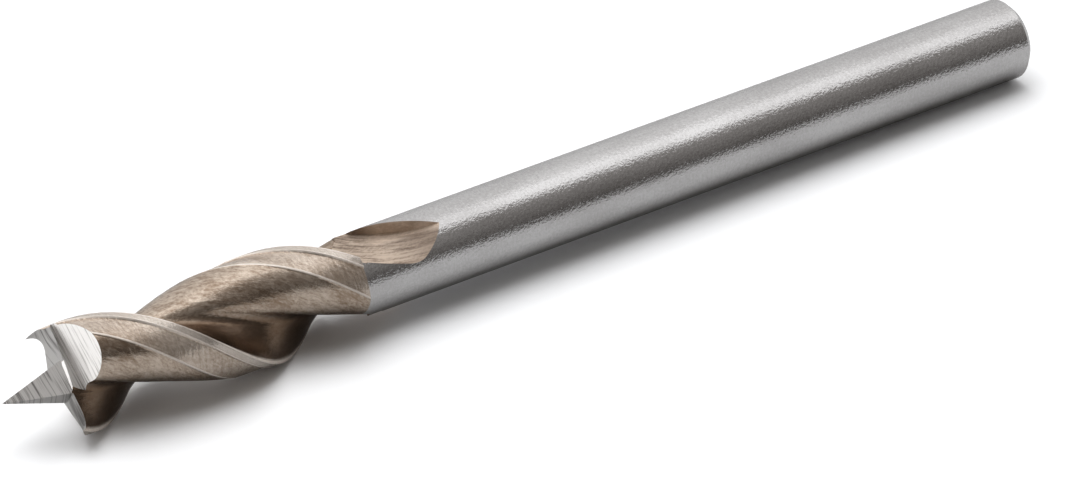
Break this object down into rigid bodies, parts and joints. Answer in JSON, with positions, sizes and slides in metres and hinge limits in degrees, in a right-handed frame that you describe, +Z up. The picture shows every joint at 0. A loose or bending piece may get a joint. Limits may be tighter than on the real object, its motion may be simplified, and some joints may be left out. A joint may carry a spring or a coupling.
{
  "type": "brad point drill bit",
  "caption": "Wood drill bit with a plain reduced shank, a short fluted head and a tip with spurs and a ground centre point.",
  "frame": {"origin": "centre of the butt end of the shank", "axes": "the bit lies along X with its tip towards -X and its butt end towards +X; +Z is up as it lies"},
  "size_m": [0.0873, 0.008, 0.008],
  "materials": {
    "steel": "ground bright on the shank and the tip, with a brown heat tint in the flutes and on the lands"
  },
  "bodies": {
    "root": {"drill_bit": "steel"}
  },
  "joints": []
}
